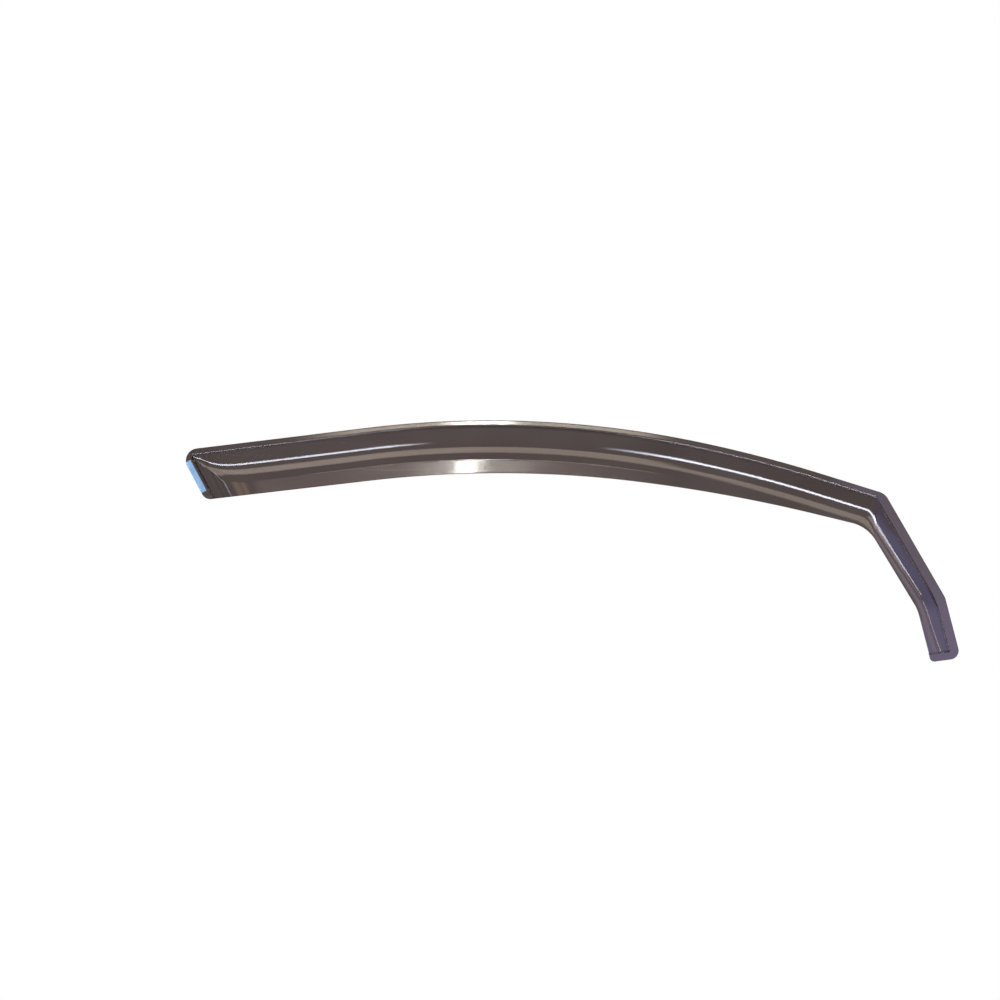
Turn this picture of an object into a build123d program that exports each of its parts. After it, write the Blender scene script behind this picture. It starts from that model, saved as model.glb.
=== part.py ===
from build123d import *
import math
import os

# Window rain deflector for one front door: a smoked acrylic visor, its adhesive strip and its liner.
# Millimetres. +X runs forward along the door, +Z is up along the glass and -Y faces outward.
# The origin is the crown of the flange that slides into the window channel.

# sheet and formed section
sheet = 2.5
step_height = 3.2
step_reach = 2.2
face_angle = 42.0
skirt_angle = 2.0
step_radius = 1.5
shoulder_radius = 2.0
ridge_radius = 30.0

# flange widths on the four edges that carry one
run_flange = 5.5
leg_flange = 9.5
rear_flange = 7.6
toe_flange = 8.0

# upper edge of the flange, seen from the side: its arches keep in proportion to its forward reach
rear_reach = 329.7
nose_reach = 419.4
crown_radius = 2.587 * nose_reach
nose_radius = 3.433 * nose_reach
rear_angle = 6.9
shoulder_angle = 12.0
nose_angle = 17.3

# front leg and toe
leg_angle = 59.9
leg_length = 127.6
toe_angle = 75.3
toe_length = 66.6
toe_end_angle = 7.5
rear_end_angle = 62.0

# lower lip
visor_height = 56.0
leg_height_top = 34.8
leg_height = 32.0
lip_crown = 0.0246 * nose_reach
lip_radius = 2.83 * nose_reach
lip_nose_radius = 3.982 * nose_reach
lip_rear_angle = 6.6
lip_shoulder_angle = 6.9
lip_nose_angle = 13.7

# rounded corners of the trimmed outline
rear_top_round = 13.0
rear_bottom_round = 9.5
nose_round = 16.0
knee_round = 17.0
toe_round = 9.5
toe_inner_round = 5.0
lip_corner_round = 40.0
lip_knee_round = 45.0

# where the ridge runs, measured inward from the step
ridge_run = 25.0
ridge_nose = 24.0
ridge_knee = 17.0
ridge_toe = 15.0
end_wall_reach = 11.0
seat_corner_round = 4.0
seat_knee_round = 30.0

# bow of the door glass that the flange follows
bow_start = -285.0
plan_radius = 7500.0
drop_start = -90.0
drop_radius = 1500.0

# adhesive strip and liner on the rear flange
tape_width = 6.0
tape_length = 36.6
tape_thickness = 0.8
tape_margin = 0.1
tape_drop = 32.8
liner_thickness = 0.12

# how far the formed sheet runs past its trimmed outline, the trimming cut's reach and a point past any rim
oversize = 4.0
trim_reach = 2 * visor_height
far = rear_reach + nose_reach


def rad(angle):
    return math.radians(angle)


def step_along(p, heading, distance):
    """The point a distance from p along a heading in degrees."""
    return (p[0] + distance * math.cos(rad(heading)), p[1] + distance * math.sin(rad(heading)))


def inward(p, heading, distance):
    """The point a distance from p toward the window, square to a heading."""
    return step_along(p, heading - 90, distance)


def meet(p, a, q, b):
    """Where the line through p on heading a crosses the line through q on heading b."""
    ax, az = math.cos(rad(a)), math.sin(rad(a))
    bx, bz = math.cos(rad(b)), math.sin(rad(b))
    t = ((q[0] - p[0]) * bz - (q[1] - p[1]) * bx) / (ax * bz - az * bx)
    return (p[0] + t * ax, p[1] + t * az)


def heading_of(p, q):
    return math.degrees(math.atan2(q[1] - p[1], q[0] - p[0]))


def mix(a, b, share):
    return a + (b - a) * share


def arched(s, crown, rear, radius, shoulder, second, nose):
    """Point and heading, s along an edge that is straight, arched twice and straight again."""
    rear_arc = radius * rad(rear)
    first = radius * rad(shoulder)
    both = first + second * rad(nose - shoulder)
    if s < first:
        turn = max(-rear, min(math.degrees(s / radius), shoulder))
        p = (crown[0] + radius * math.sin(rad(turn)), crown[1] - radius * (1 - math.cos(rad(turn))))
        return step_along(p, rear, s + rear_arc) + (rear,) if s < -rear_arc else p + (-turn,)
    p = arched(first - 1e-9, crown, rear, radius, shoulder, second, nose)
    turn = min(shoulder + math.degrees((s - first) / second), nose)
    x = p[0] + second * (math.sin(rad(turn)) - math.sin(rad(shoulder)))
    z = p[1] - second * (math.cos(rad(shoulder)) - math.cos(rad(turn)))
    return step_along((x, z), -nose, s - both) + (-nose,) if s > both else (x, z, -turn)


def upper_edge(s):
    return arched(s, (0, 0), rear_angle, crown_radius, shoulder_angle, nose_radius, nose_angle)


def lower_edge(s):
    crown = (lip_crown, -visor_height)
    return arched(s, crown, lip_rear_angle, lip_radius, lip_shoulder_angle, lip_nose_radius, lip_nose_angle)


def inside(s, depth):
    """The point a depth below the upper edge, square to it."""
    x, z, heading = upper_edge(s)
    return inward((x, z), heading, depth)


# corners of the outline where its straight stretches would meet
rear_arc = crown_radius * rad(rear_angle)
rear_straight = upper_edge(-rear_arc - 1)
rear_top = meet(rear_straight[:2], rear_angle, (-rear_reach, 0), 90)
nose_start = crown_radius * rad(shoulder_angle) + nose_radius * rad(nose_angle - shoulder_angle)
nose_line = upper_edge(nose_start)
nose_corner = meet(nose_line[:2], -nose_angle, (nose_reach, 0), 90)
knee_corner = step_along(nose_corner, -leg_angle, leg_length)
toe_corner = step_along(knee_corner, -toe_angle, toe_length)
toe_inner = meet(toe_corner, toe_end_angle, inward(knee_corner, -toe_angle, leg_height), -toe_angle)
leg_lip_top = inward(nose_corner, -leg_angle, leg_height_top)
leg_lip_knee = inward(knee_corner, -leg_angle, leg_height)
leg_lip_angle = heading_of(leg_lip_top, leg_lip_knee)
lip_knee = meet(leg_lip_top, leg_lip_angle, toe_inner, -toe_angle)
lip_arc = lip_radius * rad(lip_shoulder_angle)
lip_nose = lip_arc + lip_nose_radius * rad(lip_nose_angle - lip_shoulder_angle)
lip_nose_line = lower_edge(lip_nose)
lip_corner = meet(lip_nose_line[:2], -lip_nose_angle, leg_lip_top, leg_lip_angle)
lip_rear = lower_edge(-lip_radius * rad(lip_rear_angle) - 1)
rear_bottom = meet(lip_rear[:2], lip_rear_angle, rear_top, -rear_end_angle)


def arched_edges(edge, arc_ends):
    """The two arcs of an arched edge, each through its ends and its middle."""
    arcs = []
    for a, b in zip(arc_ends, arc_ends[1:]):
        arcs.append(ThreePointArc(*[edge(mix(a, b, share))[:2] for share in (0, 0.5, 1)]))
    return arcs


def trimmed_outline():
    """The outline that the formed sheet is cut to, as a face in the side view."""
    upper = arched_edges(upper_edge, (-rear_arc, crown_radius * rad(shoulder_angle), nose_start))
    lower = arched_edges(lower_edge, (-lip_radius * rad(lip_rear_angle), lip_arc, lip_nose))
    leg_corners = [nose_corner, knee_corner, toe_corner, toe_inner, lip_knee, lip_corner]
    front = Polyline(upper[1] @ 1, *leg_corners, lower[1] @ 1)
    rear = Polyline(lower[0] @ 0, rear_bottom, rear_top, upper[0] @ 0)
    face = make_face(Curve() + upper + lower + front + rear)
    rounds = {
        rear_top: rear_top_round,
        rear_bottom: rear_bottom_round,
        nose_corner: nose_round,
        knee_corner: knee_round,
        toe_corner: toe_round,
        toe_inner: toe_inner_round,
        lip_corner: lip_corner_round,
        lip_knee: lip_knee_round,
    }
    for corner, radius in rounds.items():
        face = fillet(face.vertices().sort_by_distance(Vector(*corner))[0], radius)
    return face


def glass(x, z):
    """How far inward of the crown the bowed glass lies."""
    bow = max(0, x - bow_start) ** 2 - bow_start ** 2
    drop = max(0, drop_start - z) ** 2
    return bow / (2 * plan_radius) + drop / (2 * drop_radius)


def round_off(points, radii):
    """Straights and arcs of a polyline with rounded corners, each a function of a share from 0 to 1."""
    pieces = []
    last = points[0]
    for before, corner, after, radius in zip(points, points[1:], points[2:], radii):
        a, b = heading_of(before, corner), heading_of(corner, after)
        turn = (b - a + 180) % 360 - 180
        reach = radius * math.tan(rad(abs(turn) / 2))
        start, end = step_along(corner, a, -reach), step_along(corner, b, reach)
        side = math.copysign(1, turn)
        centre = step_along(start, a + 90 * side, radius)
        pieces.append(lambda f, p=last, q=start: (mix(p[0], q[0], f), mix(p[1], q[1], f)))
        pieces.append(lambda f, c=centre, h=a - 90 * side, t=turn, r=radius: step_along(c, h + t * f, r))
        last = end
    pieces.append(lambda f, p=last, q=points[-1]: (mix(p[0], q[0], f), mix(p[1], q[1], f)))
    return pieces


# three lines on the leg: the rim past the flange, the seat of the step and a guide past the lip
nose_length = math.dist(nose_line[:2], nose_corner)
form_nose = visor_height * 0.66
form_leg = leg_height - leg_flange + oversize
toe_wall = step_along(toe_corner, 90 + toe_end_angle, toe_flange + sheet)


def leg_line(nose_depth, leg_depth, radii):
    """A line a depth inside the run's edge and another inside the leg's, with its two bends rounded."""
    nose = inward(nose_corner, -nose_angle, nose_depth)
    leg = inward(nose_corner, -leg_angle, leg_depth)
    toe = inward(knee_corner, -toe_angle, leg_depth)
    corner = meet(nose, -nose_angle, leg, -leg_angle)
    knee = meet(leg, -leg_angle, toe, -toe_angle)
    end = meet(toe, -toe_angle, toe_wall, toe_end_angle)
    return [step_along(corner, -nose_angle, -nose_length), corner, knee, end], radii


rim_points, rim_radii = leg_line(-oversize, -oversize, [nose_round + oversize, knee_round + oversize])
seat_points, seat_radii = leg_line(run_flange, leg_flange, [seat_corner_round, seat_knee_round])
guide_points, guide_radii = leg_line(0, leg_flange + form_leg, [lip_corner_round, lip_knee_round])
mitre = heading_of(seat_points[1], lip_corner)
guide_reach = form_nose / math.cos(rad(mitre + nose_angle + 90))
guide_points[1] = step_along(seat_points[1], mitre, guide_reach)
guide_points[0] = step_along(guide_points[1], -nose_angle, -nose_length)
rim_leg = round_off(rim_points, rim_radii)
seat_leg = round_off(seat_points, seat_radii)
guide_leg = round_off(guide_points, guide_radii)

# the same three lines on the run, as lengths along the upper edge
rear_wall = step_along(rear_top, 90 - rear_end_angle, rear_flange + sheet)
form_run = visor_height + oversize


def run_length(p):
    """Length along the upper edge of a point near the straight rear or nose stretch."""
    if p[0] < 0:
        base, turn, start = upper_edge(-rear_arc), rear_angle, -rear_arc
    else:
        base, turn, start = nose_line, -nose_angle, nose_start
    return start + (p[0] - base[0]) * math.cos(rad(turn)) + (p[1] - base[1]) * math.sin(rad(turn))


def run_span(depth, leg_pieces):
    """Where a line at a depth starts on the rear wall and ends at the nose corner."""
    rear = meet(inward(rear_straight[:2], rear_angle, depth), rear_angle, rear_wall, -rear_end_angle)
    return run_length(rear), run_length(leg_pieces[1](0))


rim_span = run_span(-oversize, rim_leg)
seat_span = run_span(run_flange, seat_leg)
guide_span = run_span(form_run, guide_leg)


def straight_rim(seat, guide, width, flange):
    """The rim straight behind the seat, on the line that a section is drawn along."""
    stretch = math.dist(seat, guide) / width
    return step_along(seat, heading_of(guide, seat), (flange + oversize) * stretch)


def run_station(share, bent=False):
    """Rim, seat and guide points of a section across the run, its width, its ridge and its rise."""
    seat = inside(mix(*seat_span, share), run_flange)
    s = mix(*guide_span, share)
    taper = max(0, min(s / guide_span[1], 1))
    width = mix(form_run - run_flange, form_nose, taper)
    guide = inside(s, run_flange + width)
    from_end = share * (seat_span[1] - seat_span[0])
    rise = 1 - 0.9 * math.exp(-from_end / end_wall_reach)
    ridge = mix(step_reach, mix(ridge_run, ridge_nose, taper), rise)
    rim = straight_rim(seat, guide, width, run_flange)
    if bent:
        rim = inside(mix(*rim_span, share), -oversize)
    return rim, seat, guide, width, ridge, rise


def leg_station(piece, share, bent=False):
    """The same for a section round the corner, down the leg, at the knee or on the toe."""
    place = {1: 0, 2: 0.85 * share, 3: mix(0.85, 1, share), 4: 1}[piece]
    width = mix(form_nose, form_leg, place)
    ridge = mix(ridge_nose, ridge_knee, place)
    if piece == 4:
        ridge = mix(ridge_knee, ridge_toe, share)
    seat, guide = seat_leg[piece](share), guide_leg[piece](share)
    rim = rim_leg[piece](share) if bent else straight_rim(seat, guide, width, leg_flange)
    return rim, seat, guide, width, ridge, 1


def offset_corners(corners, distance):
    """Corners of a polyline moved to its right side by a distance."""
    moved = []
    for i, p in enumerate(corners):
        before = heading_of(corners[i - 1], p) if i else heading_of(p, corners[i + 1])
        after = heading_of(p, corners[i + 1]) if i + 1 < len(corners) else before
        half = rad((after - before) / 2)
        moved.append(step_along(p, (before + after) / 2 - 90, distance / math.cos(half)))
    return moved


def section_corners(station):
    """Corners of the outer skin in a section, as distance from the seat and height off the glass."""
    rim, seat, guide, width, ridge, rise = station
    stretch = math.dist(seat, guide) / width
    top = step_height + (ridge - step_reach) * math.tan(rad(face_angle))
    lip = top - (width - ridge) * math.tan(rad(skirt_angle * rise))
    places = [(-far, 0), (0, 0), (step_reach, step_height), (ridge, top), (width, lip)]
    return [(d * stretch, w) for d, w in places]


def lifted(station, p):
    """A point of a section in space: the rim if it lies far out, else on the line from seat to guide."""
    rim, seat, guide = station[:3]
    x, z = rim if p[0] < -far / 2 else step_along(seat, heading_of(seat, guide), p[0])
    return Vector(x, glass(x, z) - p[1], z)


def rounded_edges(station, corners, radii):
    """Edges of a section's skin, with its inner corners rounded."""
    edges = []
    last = corners[0]
    for before, corner, after, radius in zip(corners, corners[1:], corners[2:], radii):
        line, arc = round_off([before, corner, after], [radius])[:2]
        edges.append(Line(lifted(station, last), lifted(station, line(1))))
        edges.append(ThreePointArc(*[lifted(station, arc(share)) for share in (0, 0.5, 1)]))
        last = arc(1)
    edges.append(Line(lifted(station, last), lifted(station, corners[-1])))
    return edges


def section(station):
    """One closed section of the formed sheet."""
    outer = section_corners(station)
    inner = offset_corners(outer, sheet)
    room = min(0.75 * math.dist(outer[2], outer[3]), 0.95 * math.dist(outer[3], outer[4]))
    turn = heading_of(outer[2], outer[3]) - heading_of(outer[3], outer[4])
    round_over = min(ridge_radius, room / math.tan(rad(turn / 2)))
    outside = rounded_edges(station, outer, [step_radius, shoulder_radius, round_over])
    within = rounded_edges(station, inner, [step_radius + sheet, 0.5, max(0.3, round_over - sheet)])
    lip_end = Line(outside[-1] @ 1, within[-1] @ 1)
    rim_end = Line(within[0] @ 0, outside[0] @ 0)
    return Wire(outside + [lip_end] + within[::-1] + [rim_end])


def end_block(station, corners, away):
    """A block on the plane of an end section, pushed away from the visor."""
    border = Polyline(*[lifted(station, p) for p in corners], close=True)
    return extrude(make_face(border), away.length, dir=away)


def closed_end(station, away, flange):
    """The upright wall that closes the formed section at one end, and the flat flange beyond it."""
    outer = section_corners(station)
    rim, lip = outer[0][0], outer[-1][0]
    wall = end_block(station, outer[1:] + [(lip, -sheet), (0, -sheet)], away * sheet)
    border = [(rim, 0), (0, 0), (lip, 0), (lip, -sheet), (0, -sheet), (rim, -sheet)]
    plate = end_block(station, border, away * (sheet + flange + oversize))
    return [wall, plate]


def spread(a, b, count):
    """Evenly spaced shares from a to b."""
    return [mix(a, b, i / count) for i in range(count + 1)]


def stretches():
    """The sections of each stretch of the visor, from the rear end to the toe."""
    rear = [run_station(share) for share in (0, 0.005, 0.012, 0.022, 0.036, 0.055)]
    aft = [run_station(share) for share in spread(0.055, 0.235, 3)]
    crown = [run_station(share) for share in spread(0.235, 0.695, 4)]
    nose = [run_station(share) for share in spread(0.695, 0.93, 3)]
    into = [run_station(share, bent=True) for share in (0.95, 0.97, 0.985, 1)]
    around = [leg_station(1, share, bent=True) for share in (0.2, 0.4, 0.6, 0.8, 1)]
    out = [leg_station(2, share, bent=True) for share in (0.08, 0.18, 0.29)]
    leg = [leg_station(2, share) for share in spread(0.4, 1, 3)]
    knee = [leg_station(3, share) for share in spread(0, 1, 3)]
    toe = [leg_station(4, share) for share in spread(0, 1, 3)]
    corner = [nose[-1]] + into + around + out + [leg[0]]
    return rear, aft, crown, nose, corner, leg, knee, toe


def make_visor():
    """The whole visor: formed over its sections, closed at both ends and trimmed to the outline."""
    groups = stretches()
    formed = [Solid.make_loft([section(s) for s in group], ruled=len(group) > 9) for group in groups]
    rearward = Vector(-math.sin(rad(rear_end_angle)), 0, -math.cos(rad(rear_end_angle)))
    toe = groups[-1]
    toeward = (lifted(toe[-1], (0, 0)) - lifted(toe[-2], (0, 0))).normalized()
    ends = closed_end(groups[0][0], rearward, rear_flange) + closed_end(toe[-1], toeward, toe_flange)
    body = formed[0].fuse(*formed[1:], *ends)
    prism = extrude(Plane.XZ * trimmed_outline(), trim_reach, both=True)
    return body & prism


def strip(thickness, height):
    """A flat strip on the rear flange, its back a height off it, trimmed with the visor's edge."""
    beside = step_along(rear_top, -rear_end_angle, tape_drop)
    centre = step_along(beside, 90 - rear_end_angle, tape_margin + tape_width / 2)
    band = Pos(*centre) * Rot(0, 0, -rear_end_angle) * Rectangle(tape_length, tape_width)
    place = Plane.XZ * (band & trimmed_outline())
    return Pos(0, glass(*centre) - height, 0) * extrude(place, thickness)


def main():
    os.makedirs("parts", exist_ok=True)
    visor = make_visor()
    export_step(visor, "parts/visor.step")
    export_step(strip(tape_thickness, 0), "parts/adhesive_tape.step")
    export_step(strip(liner_thickness, tape_thickness), "parts/tape_liner.step")
    print("visor", visor.volume, visor.bounding_box(), len(visor.solids()), len(visor.faces()))


main()
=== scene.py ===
# %% [markdown]
# # A smoked window deflector, dressed for the studio
# A rain deflector is a strip of dark acrylic sheet that is warmed, drawn over a mould and trimmed.
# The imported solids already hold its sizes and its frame. This lesson loads them, forms a finer sheet over
# the same lines, gives each surface its finish, and lights it with soft studio light.

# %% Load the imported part
import math

import bmesh
import bpy
import numpy as np
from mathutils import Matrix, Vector


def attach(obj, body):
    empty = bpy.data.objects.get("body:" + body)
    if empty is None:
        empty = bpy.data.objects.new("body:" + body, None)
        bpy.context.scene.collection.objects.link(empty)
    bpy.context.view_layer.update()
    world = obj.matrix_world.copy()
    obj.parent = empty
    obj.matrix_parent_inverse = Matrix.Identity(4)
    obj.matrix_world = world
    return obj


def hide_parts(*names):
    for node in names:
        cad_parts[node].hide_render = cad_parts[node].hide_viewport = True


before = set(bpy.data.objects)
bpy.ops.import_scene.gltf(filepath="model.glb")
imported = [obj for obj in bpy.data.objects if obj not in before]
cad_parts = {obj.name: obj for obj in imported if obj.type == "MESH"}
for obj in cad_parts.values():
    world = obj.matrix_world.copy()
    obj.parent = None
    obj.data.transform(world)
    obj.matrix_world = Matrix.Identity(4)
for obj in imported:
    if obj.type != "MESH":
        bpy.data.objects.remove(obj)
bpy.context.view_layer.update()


# %% [markdown]
# ## The lines that the visor follows
# Seen from the side, a deflector is drawn from a few straight lines and wide arcs. Typing hundreds of points
# would hide that, so a handful of helpers work in the flat side view, in millimetres, with headings in
# degrees. A point is (x, z): x runs forward along the door and z runs up along the glass.

# %% Helpers in the side view
def ahead(p, heading, distance):
    """The point a distance from p along a heading."""
    return np.array([p[0] + distance * math.cos(math.radians(heading)),
                     p[1] + distance * math.sin(math.radians(heading))])


def inward(p, heading, distance):
    """The point a distance from p toward the window, square to a heading."""
    return ahead(p, heading - 90, distance)


def heading_of(p, q):
    return math.degrees(math.atan2(q[1] - p[1], q[0] - p[0]))


def meet(p, a, q, b):
    """Where the line through p on heading a crosses the line through q on heading b."""
    u, v = ahead((0, 0), a, 1), ahead((0, 0), b, 1)
    t = ((q[0] - p[0]) * v[1] - (q[1] - p[1]) * v[0]) / (u[0] * v[1] - u[1] * v[0])
    return np.array(p[:2]) + t * u


def mix(a, b, share):
    return a + (b - a) * share


def smooth(share):
    """A share from 0 to 1 that starts and stops gently."""
    share = max(0.0, min(share, 1.0))
    return share * share * (3 - 2 * share)


def spaced(a, b, count):
    """Evenly spaced values after a, up to b."""
    return [mix(a, b, (i + 1) / count) for i in range(count)]


def round_off(points, radii):
    """A polyline with rounded corners, as functions of a share: straight, arc, straight and so on."""
    pieces = []
    last = np.array(points[0])
    for before, corner, after, radius in zip(points, points[1:], points[2:], radii):
        a, b = heading_of(before, corner), heading_of(corner, after)
        turn = (b - a + 180) % 360 - 180
        side = math.copysign(1, turn)
        reach = radius * math.tan(math.radians(abs(turn) / 2))
        start, end = ahead(corner, a, -reach), ahead(corner, b, reach)
        centre = ahead(start, a + 90 * side, radius)
        pieces.append(lambda f, p=last, q=start: mix(p, q, f))
        pieces.append(lambda f, c=centre, h=a - 90 * side, t=turn, r=radius: ahead(c, h + t * f, r))
        last = end
    pieces.append(lambda f, p=last, q=np.array(points[-1]): mix(p, q, f))
    return pieces


print("one step ahead on heading 30:", ahead((0, 0), 30, 1).round(3))

# %% [markdown]
# ## The trimmed outline
# The upper edge goes into the window channel, so it has the channel's arch: straight at the rear, a wide
# arc over the crown, a wider one down the nose, and straight again. The lip below has an arch of its own.
# The leg, the knee and the toe are straight lines with rounded corners.

# %% Upper edge and lip
rear_reach, nose_reach = 329.7, 419.4
visor_height = 56.0
upper_arch = dict(crown=(0, 0), rear=6.9, radius=2.587 * nose_reach,
                  shoulder=12.0, second=3.433 * nose_reach, nose=17.3)
lip_arch = dict(crown=(0.0246 * nose_reach, -visor_height), rear=6.6, radius=2.83 * nose_reach,
                shoulder=6.9, second=3.982 * nose_reach, nose=13.7)


def arched(s, crown, rear, radius, shoulder, second, nose):
    """Point and heading, s along an edge that is straight, arched twice and straight again."""
    rear_arc, first = radius * math.radians(rear), radius * math.radians(shoulder)
    both = first + second * math.radians(nose - shoulder)
    turn = max(-rear, min(math.degrees(min(s, first) / radius), shoulder))
    p = np.array([crown[0] + radius * math.sin(math.radians(turn)),
                  crown[1] - radius * (1 - math.cos(math.radians(turn)))])
    if s < -rear_arc:
        return ahead(p, rear, s + rear_arc), rear
    if s <= first:
        return p, -turn
    turn = min(shoulder + math.degrees((s - first) / second), nose)
    a, b = math.radians(shoulder), math.radians(turn)
    p = p + second * np.array([math.sin(b) - math.sin(a), math.cos(b) - math.cos(a)])
    return (ahead(p, -nose, s - both), -nose) if s > both else (p, -turn)


def ends_of(arch):
    """Where an arch's first arc starts and its second arc ends, as lengths along the edge."""
    first = arch["radius"] * math.radians(arch["shoulder"])
    second = arch["second"] * math.radians(arch["nose"] - arch["shoulder"])
    return -arch["radius"] * math.radians(arch["rear"]), first + second


upper_start, upper_end = ends_of(upper_arch)
lip_start, lip_end = ends_of(lip_arch)
print("arched lengths in mm:", round(upper_end - upper_start), "above,", round(lip_end - lip_start), "below")

# %% Corners of the leg, the toe and the rear end
leg_angle, leg_length, leg_height_top, leg_height = 59.9, 127.6, 34.8, 32.0
toe_angle, toe_length, toe_end_angle, rear_end_angle = 75.3, 66.6, 7.5, 62.0
nose_angle, rear_angle, lip_nose_angle = upper_arch["nose"], upper_arch["rear"], lip_arch["nose"]

rear_straight = arched(upper_start - 1, **upper_arch)[0]
rear_top = meet(rear_straight, rear_angle, (-rear_reach, 0), 90)
nose_line = arched(upper_end, **upper_arch)[0]
nose_corner = meet(nose_line, -nose_angle, (nose_reach, 0), 90)
knee_corner = ahead(nose_corner, -leg_angle, leg_length)
toe_corner = ahead(knee_corner, -toe_angle, toe_length)
toe_inner = meet(toe_corner, toe_end_angle, inward(knee_corner, -toe_angle, leg_height), -toe_angle)
leg_lip_top = inward(nose_corner, -leg_angle, leg_height_top)
leg_lip_angle = heading_of(leg_lip_top, inward(knee_corner, -leg_angle, leg_height))
lip_knee = meet(leg_lip_top, leg_lip_angle, toe_inner, -toe_angle)
lip_corner = meet(arched(lip_end, **lip_arch)[0], -lip_nose_angle, leg_lip_top, leg_lip_angle)
rear_bottom = meet(arched(lip_start - 1, **lip_arch)[0], lip_arch["rear"], rear_top, -rear_end_angle)
print("corners in mm: nose", nose_corner.round(1), "knee", knee_corner.round(1), "toe", toe_corner.round(1))

# %% One closed outline
nose_round, knee_round, toe_round, toe_inner_round = 16.0, 17.0, 9.5, 5.0
lip_corner_round, lip_knee_round = 40.0, 45.0
rear_bottom_round, rear_top_round = 9.5, 13.0
arch_steps, corner_steps = 240, 24


def along_arch(arch, start, end):
    return [arched(mix(start, end, i / arch_steps), **arch)[0] for i in range(arch_steps + 1)]


def sampled(pieces):
    """Points along the arcs of a rounded polyline. Its straights need none."""
    return [arc(i / corner_steps) for arc in pieces[1::2] for i in range(corner_steps + 1)]


upper_points = along_arch(upper_arch, upper_start, upper_end)
lip_points = along_arch(lip_arch, lip_start, lip_end)
front_corners = [upper_points[-1], nose_corner, knee_corner, toe_corner,
                 toe_inner, lip_knee, lip_corner, lip_points[-1]]
front = round_off(front_corners, [nose_round, knee_round, toe_round,
                                  toe_inner_round, lip_knee_round, lip_corner_round])
rear = round_off([lip_points[0], rear_bottom, rear_top, upper_points[0]], [rear_bottom_round, rear_top_round])
outline = np.array(upper_points + sampled(front) + lip_points[::-1] + sampled(rear))
print("outline:", len(outline), "points, from", outline.min(0).round(1), "to", outline.max(0).round(1))


def clip(p, heading):
    """Lengths from p back and forward along a heading to where the outline cuts that line."""
    nearly_parallel = 1e-12
    u = ahead((0, 0), heading, 1)
    a, e = outline - p, np.roll(outline, -1, axis=0) - outline
    cross = u[0] * e[:, 1] - u[1] * e[:, 0]
    cross = np.where(np.abs(cross) < nearly_parallel, nearly_parallel, cross)
    t = (a[:, 0] * e[:, 1] - a[:, 1] * e[:, 0]) / cross
    s = (a[:, 0] * u[1] - a[:, 1] * u[0]) / cross
    hits = t[(s >= 0) & (s <= 1)]
    return hits[hits < 0].max(), hits[hits > 0].min()


# %% [markdown]
# ## Stations across the sheet
# Every cut across the sheet has the same parts: a flat flange, a small step, a slanted face, a rounded
# ridge and a skirt. A station says where one such cut starts and ends and how far its ridge lies from the
# step. The stations follow two lines, the seat of the step and a guide past the lip, round the corner, the
# knee and the toe. At the rear the section sinks away, so the sheet closes in a soft hipped end.

# %% Sizes of the formed section
sheet, step_height, step_reach = 2.5, 3.2, 2.2
face_angle, skirt_angle = 42, 2
face_slope, skirt_slope = math.tan(math.radians(face_angle)), math.tan(math.radians(skirt_angle))
ridge_radius = 30.0
run_flange, leg_flange, rear_flange, toe_flange = 5.5, 9.5, 7.6, 8.0
ridge_run, ridge_nose, ridge_knee, ridge_toe = 25.0, 24.0, 17.0, 15.0
end_wall_reach, oversize, nose_width_share = 11.0, 4.0, 0.66

form_run, form_nose = visor_height + oversize, visor_height * nose_width_share
form_leg = leg_height - leg_flange + oversize
nose_length = math.dist(nose_line, nose_corner)
toe_wall = ahead(toe_corner, 90 + toe_end_angle, toe_flange + sheet)
rear_wall = ahead(rear_top, 90 - rear_end_angle, rear_flange + sheet)
print("form in mm:", form_run, "at the run,", round(form_nose, 1), "at the nose,", form_leg, "on the leg")

# %% Edge, seat and guide lines
seat_corner_round, seat_knee_round = 4.0, 120.0


def leg_line(nose_depth, leg_depth, radii, corner=None):
    """A line inside the run's edge and inside the leg's, with its corner and its knee rounded."""
    nose = inward(nose_corner, -nose_angle, nose_depth)
    leg = inward(nose_corner, -leg_angle, leg_depth)
    toe = inward(knee_corner, -toe_angle, leg_depth)
    corner = meet(nose, -nose_angle, leg, -leg_angle) if corner is None else corner
    knee = meet(leg, -leg_angle, toe, -toe_angle)
    end = meet(toe, -toe_angle, toe_wall, toe_end_angle)
    return round_off([ahead(corner, -nose_angle, -nose_length), corner, knee, end], radii)


def run_length(p):
    """Length along the upper edge of a point near its straight rear or nose stretch."""
    near_rear = p[0] < 0
    base, start = (upper_points[0], upper_start) if near_rear else (nose_line, upper_end)
    return start + np.dot(p - base, ahead((0, 0), rear_angle if near_rear else -nose_angle, 1))


def run_span(depth, leg):
    """Where a line at a depth starts and ends on the run, as lengths along the upper edge."""
    start = meet(inward(rear_straight, rear_angle, depth), rear_angle, rear_wall, -rear_end_angle)
    return run_length(start), run_length(leg[1](0))


def inside(s, depth):
    """The point a depth inside the upper edge, s along it."""
    p, heading = arched(s, **upper_arch)
    return inward(p, heading, depth)


seat_corner = meet(inward(nose_corner, -nose_angle, run_flange), -nose_angle,
                   inward(nose_corner, -leg_angle, leg_flange), -leg_angle)
mitre = heading_of(seat_corner, lip_corner)
guide_corner = ahead(seat_corner, mitre, form_nose / math.cos(math.radians(mitre + nose_angle + 90)))
edge_leg = leg_line(0, 0, [nose_round, knee_round])
seat_leg = leg_line(run_flange, leg_flange, [seat_corner_round, seat_knee_round])
guide_leg = leg_line(0, leg_flange + form_leg, [lip_corner_round, seat_knee_round - form_leg], guide_corner)
edge_span = run_span(0, edge_leg)
seat_span = run_span(run_flange, seat_leg)
guide_span = run_span(form_run, guide_leg)
seat_length = seat_span[1] - seat_span[0]
print("seat line:", round(seat_length), "mm along the run")

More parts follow.
